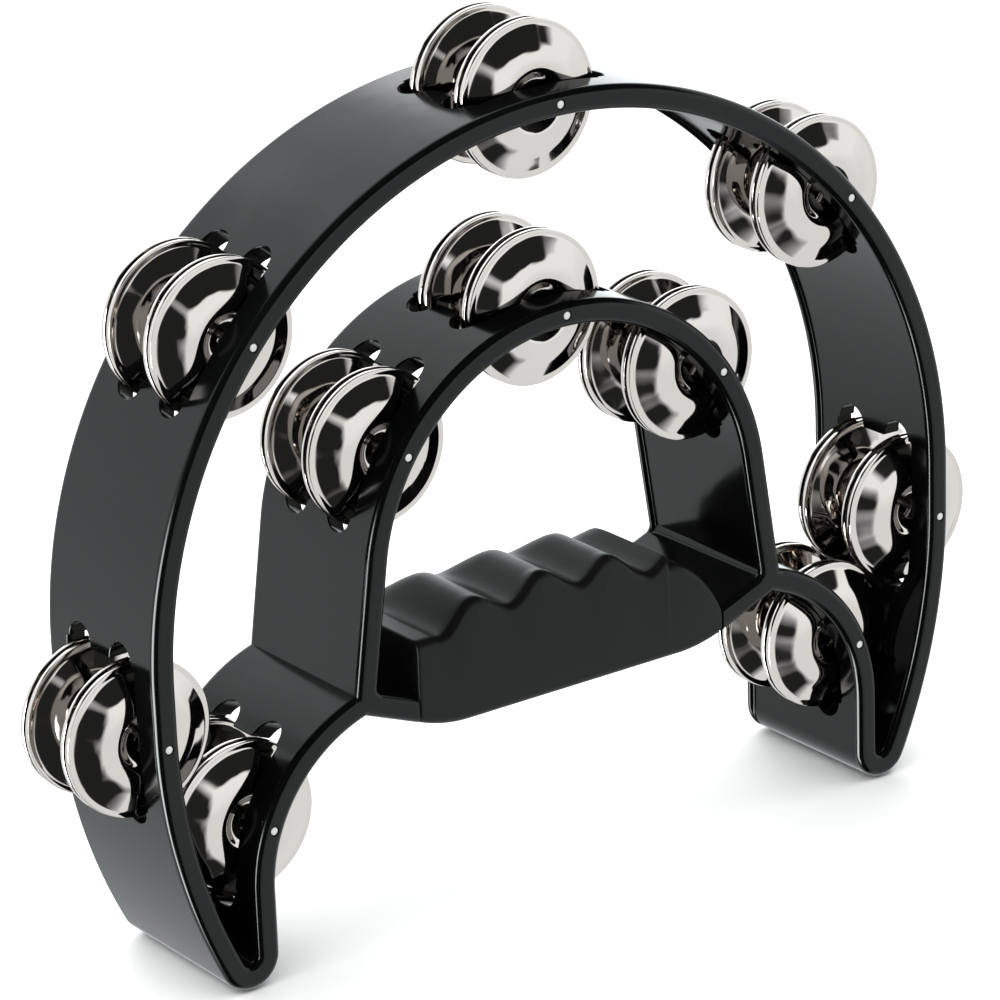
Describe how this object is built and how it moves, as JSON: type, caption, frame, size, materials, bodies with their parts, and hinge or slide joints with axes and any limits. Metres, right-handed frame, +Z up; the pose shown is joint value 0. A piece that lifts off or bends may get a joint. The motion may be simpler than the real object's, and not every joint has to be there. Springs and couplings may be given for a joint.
{
  "type": "tambourine",
  "caption": "Half-moon hand tambourine: crescent frame with a level hand bar and finger-grooved grip, slotted walls with pairs of dished steel jingles sliding loosely on cross pins.",
  "frame": {"origin": "On the floor plane under the middle of the object: midway between the two horn tips and midway between the front and back faces.", "axes": "+X to the right along the hand bar (the width and longest side), +Y from the front face to the back face, +Z up from the horn tips to the crown of the big arch."},
  "size_m": [0.2888, 0.05, 0.2287],
  "materials": {
    "body": "satin-gloss black moulded plastic",
    "grip": "matte black moulded rubber",
    "pins": "steel pins with plain ends",
    "jingles": "bright nickel-plated pressed sheet"
  },
  "bodies": {
    "frame": {"frame": "body", "grip": "grip", "pin_outer_1": "pins", "pin_outer_2": "pins", "pin_outer_3": "pins", "pin_outer_4": "pins", "pin_outer_5": "pins", "pin_inner_1": "pins", "pin_inner_2": "pins", "pin_inner_3": "pins", "pin_horn_1": "pins", "pin_horn_2": "pins"},
    "jingle_outer_1_front_a": {"jingle_outer_1_front_a": "jingles"},
    "jingle_outer_1_front_b": {"jingle_outer_1_front_b": "jingles"},
    "jingle_outer_1_back_a": {"jingle_outer_1_back_a": "jingles"},
    "jingle_outer_1_back_b": {"jingle_outer_1_back_b": "jingles"},
    "jingle_outer_2_front_a": {"jingle_outer_2_front_a": "jingles"},
    "jingle_outer_2_front_b": {"jingle_outer_2_front_b": "jingles"},
    "jingle_outer_2_back_a": {"jingle_outer_2_back_a": "jingles"},
    "jingle_outer_2_back_b": {"jingle_outer_2_back_b": "jingles"},
    "jingle_outer_3_front_a": {"jingle_outer_3_front_a": "jingles"},
    "jingle_outer_3_front_b": {"jingle_outer_3_front_b": "jingles"},
    "jingle_outer_3_back_a": {"jingle_outer_3_back_a": "jingles"},
    "jingle_outer_3_back_b": {"jingle_outer_3_back_b": "jingles"},
    "jingle_outer_4_front_a": {"jingle_outer_4_front_a": "jingles"},
    "jingle_outer_4_front_b": {"jingle_outer_4_front_b": "jingles"},
    "jingle_outer_4_back_a": {"jingle_outer_4_back_a": "jingles"},
    "jingle_outer_4_back_b": {"jingle_outer_4_back_b": "jingles"},
    "jingle_outer_5_front_a": {"jingle_outer_5_front_a": "jingles"},
    "jingle_outer_5_front_b": {"jingle_outer_5_front_b": "jingles"},
    "jingle_outer_5_back_a": {"jingle_outer_5_back_a": "jingles"},
    "jingle_outer_5_back_b": {"jingle_outer_5_back_b": "jingles"},
    "jingle_inner_1_front_a": {"jingle_inner_1_front_a": "jingles"},
    "jingle_inner_1_front_b": {"jingle_inner_1_front_b": "jingles"},
    "jingle_inner_1_back_a": {"jingle_inner_1_back_a": "jingles"},
    "jingle_inner_1_back_b": {"jingle_inner_1_back_b": "jingles"},
    "jingle_inner_2_front_a": {"jingle_inner_2_front_a": "jingles"},
    "jingle_inner_2_front_b": {"jingle_inner_2_front_b": "jingles"},
    "jingle_inner_2_back_a": {"jingle_inner_2_back_a": "jingles"},
    "jingle_inner_2_back_b": {"jingle_inner_2_back_b": "jingles"},
    "jingle_inner_3_front_a": {"jingle_inner_3_front_a": "jingles"},
    "jingle_inner_3_front_b": {"jingle_inner_3_front_b": "jingles"},
    "jingle_inner_3_back_a": {"jingle_inner_3_back_a": "jingles"},
    "jingle_inner_3_back_b": {"jingle_inner_3_back_b": "jingles"},
    "jingle_horn_1_front_a": {"jingle_horn_1_front_a": "jingles"},
    "jingle_horn_1_front_b": {"jingle_horn_1_front_b": "jingles"},
    "jingle_horn_1_back_a": {"jingle_horn_1_back_a": "jingles"},
    "jingle_horn_1_back_b": {"jingle_horn_1_back_b": "jingles"},
    "jingle_horn_2_front_a": {"jingle_horn_2_front_a": "jingles"},
    "jingle_horn_2_front_b": {"jingle_horn_2_front_b": "jingles"},
    "jingle_horn_2_back_a": {"jingle_horn_2_back_a": "jingles"},
    "jingle_horn_2_back_b": {"jingle_horn_2_back_b": "jingles"}
  },
  "joints": [
    {"name": "jingle_outer_1_front_a_slide", "type": "slide", "parent": "frame", "child": "jingle_outer_1_front_a", "axis": [0, 1, 0], "range_m": [-0.0002, 0.00035]},
    {"name": "jingle_outer_1_front_b_slide", "type": "slide", "parent": "frame", "child": "jingle_outer_1_front_b", "axis": [0, 1, 0], "range_m": [-0.00035, 0.0016]},
    {"name": "jingle_outer_1_back_a_slide", "type": "slide", "parent": "frame", "child": "jingle_outer_1_back_a", "axis": [0, 1, 0], "range_m": [-0.0016, 0.00035]},
    {"name": "jingle_outer_1_back_b_slide", "type": "slide", "parent": "frame", "child": "jingle_outer_1_back_b", "axis": [0, 1, 0], "range_m": [-0.00035, 0.0002]},
    {"name": "jingle_outer_2_front_a_slide", "type": "slide", "parent": "frame", "child": "jingle_outer_2_front_a", "axis": [0, 1, 0], "range_m": [-0.0002, 0.00035]},
    {"name": "jingle_outer_2_front_b_slide", "type": "slide", "parent": "frame", "child": "jingle_outer_2_front_b", "axis": [0, 1, 0], "range_m": [-0.00035, 0.0016]},
    {"name": "jingle_outer_2_back_a_slide", "type": "slide", "parent": "frame", "child": "jingle_outer_2_back_a", "axis": [0, 1, 0], "range_m": [-0.0016, 0.00035]},
    {"name": "jingle_outer_2_back_b_slide", "type": "slide", "parent": "frame", "child": "jingle_outer_2_back_b", "axis": [0, 1, 0], "range_m": [-0.00035, 0.0002]},
    {"name": "jingle_outer_3_front_a_slide", "type": "slide", "parent": "frame", "child": "jingle_outer_3_front_a", "axis": [0, 1, 0], "range_m": [-0.0002, 0.00035]},
    {"name": "jingle_outer_3_front_b_slide", "type": "slide", "parent": "frame", "child": "jingle_outer_3_front_b", "axis": [0, 1, 0], "range_m": [-0.00035, 0.0016]},
    {"name": "jingle_outer_3_back_a_slide", "type": "slide", "parent": "frame", "child": "jingle_outer_3_back_a", "axis": [0, 1, 0], "range_m": [-0.0016, 0.00035]},
    {"name": "jingle_outer_3_back_b_slide", "type": "slide", "parent": "frame", "child": "jingle_outer_3_back_b", "axis": [0, 1, 0], "range_m": [-0.00035, 0.0002]},
    {"name": "jingle_outer_4_front_a_slide", "type": "slide", "parent": "frame", "child": "jingle_outer_4_front_a", "axis": [0, 1, 0], "range_m": [-0.0002, 0.00035]},
    {"name": "jingle_outer_4_front_b_slide", "type": "slide", "parent": "frame", "child": "jingle_outer_4_front_b", "axis": [0, 1, 0], "range_m": [-0.00035, 0.0016]},
    {"name": "jingle_outer_4_back_a_slide", "type": "slide", "parent": "frame", "child": "jingle_outer_4_back_a", "axis": [0, 1, 0], "range_m": [-0.0016, 0.00035]},
    {"name": "jingle_outer_4_back_b_slide", "type": "slide", "parent": "frame", "child": "jingle_outer_4_back_b", "axis": [0, 1, 0], "range_m": [-0.00035, 0.0002]},
    {"name": "jingle_outer_5_front_a_slide", "type": "slide", "parent": "frame", "child": "jingle_outer_5_front_a", "axis": [0, 1, 0], "range_m": [-0.0002, 0.00035]},
    {"name": "jingle_outer_5_front_b_slide", "type": "slide", "parent": "frame", "child": "jingle_outer_5_front_b", "axis": [0, 1, 0], "range_m": [-0.00035, 0.0016]},
    {"name": "jingle_outer_5_back_a_slide", "type": "slide", "parent": "frame", "child": "jingle_outer_5_back_a", "axis": [0, 1, 0], "range_m": [-0.0016, 0.00035]},
    {"name": "jingle_outer_5_back_b_slide", "type": "slide", "parent": "frame", "child": "jingle_outer_5_back_b", "axis": [0, 1, 0], "range_m": [-0.00035, 0.0002]},
    {"name": "jingle_inner_1_front_a_slide", "type": "slide", "parent": "frame", "child": "jingle_inner_1_front_a", "axis": [0, 1, 0], "range_m": [-0.0002, 0.00035]},
    {"name": "jingle_inner_1_front_b_slide", "type": "slide", "parent": "frame", "child": "jingle_inner_1_front_b", "axis": [0, 1, 0], "range_m": [-0.00035, 0.0016]},
    {"name": "jingle_inner_1_back_a_slide", "type": "slide", "parent": "frame", "child": "jingle_inner_1_back_a", "axis": [0, 1, 0], "range_m": [-0.0016, 0.00035]},
    {"name": "jingle_inner_1_back_b_slide", "type": "slide", "parent": "frame", "child": "jingle_inner_1_back_b", "axis": [0, 1, 0], "range_m": [-0.00035, 0.0002]},
    {"name": "jingle_inner_2_front_a_slide", "type": "slide", "parent": "frame", "child": "jingle_inner_2_front_a", "axis": [0, 1, 0], "range_m": [-0.0002, 0.00035]},
    {"name": "jingle_inner_2_front_b_slide", "type": "slide", "parent": "frame", "child": "jingle_inner_2_front_b", "axis": [0, 1, 0], "range_m": [-0.00035, 0.0016]},
    {"name": "jingle_inner_2_back_a_slide", "type": "slide", "parent": "frame", "child": "jingle_inner_2_back_a", "axis": [0, 1, 0], "range_m": [-0.0016, 0.00035]},
    {"name": "jingle_inner_2_back_b_slide", "type": "slide", "parent": "frame", "child": "jingle_inner_2_back_b", "axis": [0, 1, 0], "range_m": [-0.00035, 0.0002]},
    {"name": "jingle_inner_3_front_a_slide", "type": "slide", "parent": "frame", "child": "jingle_inner_3_front_a", "axis": [0, 1, 0], "range_m": [-0.0002, 0.00035]},
    {"name": "jingle_inner_3_front_b_slide", "type": "slide", "parent": "frame", "child": "jingle_inner_3_front_b", "axis": [0, 1, 0], "range_m": [-0.00035, 0.0016]},
    {"name": "jingle_inner_3_back_a_slide", "type": "slide", "parent": "frame", "child": "jingle_inner_3_back_a", "axis": [0, 1, 0], "range_m": [-0.0016, 0.00035]},
    {"name": "jingle_inner_3_back_b_slide", "type": "slide", "parent": "frame", "child": "jingle_inner_3_back_b", "axis": [0, 1, 0], "range_m": [-0.00035, 0.0002]},
    {"name": "jingle_horn_1_front_a_slide", "type": "slide", "parent": "frame", "child": "jingle_horn_1_front_a", "axis": [0, 1, 0], "range_m": [-0.0002, 0.00035]},
    {"name": "jingle_horn_1_front_b_slide", "type": "slide", "parent": "frame", "child": "jingle_horn_1_front_b", "axis": [0, 1, 0], "range_m": [-0.00035, 0.0016]},
    {"name": "jingle_horn_1_back_a_slide", "type": "slide", "parent": "frame", "child": "jingle_horn_1_back_a", "axis": [0, 1, 0], "range_m": [-0.0016, 0.00035]},
    {"name": "jingle_horn_1_back_b_slide", "type": "slide", "parent": "frame", "child": "jingle_horn_1_back_b", "axis": [0, 1, 0], "range_m": [-0.00035, 0.0002]},
    {"name": "jingle_horn_2_front_a_slide", "type": "slide", "parent": "frame", "child": "jingle_horn_2_front_a", "axis": [0, 1, 0], "range_m": [-0.0002, 0.00035]},
    {"name": "jingle_horn_2_front_b_slide", "type": "slide", "parent": "frame", "child": "jingle_horn_2_front_b", "axis": [0, 1, 0], "range_m": [-0.00035, 0.0016]},
    {"name": "jingle_horn_2_back_a_slide", "type": "slide", "parent": "frame", "child": "jingle_horn_2_back_a", "axis": [0, 1, 0], "range_m": [-0.0016, 0.00035]},
    {"name": "jingle_horn_2_back_b_slide", "type": "slide", "parent": "frame", "child": "jingle_horn_2_back_b", "axis": [0, 1, 0], "range_m": [-0.00035, 0.0002]}
  ]
}
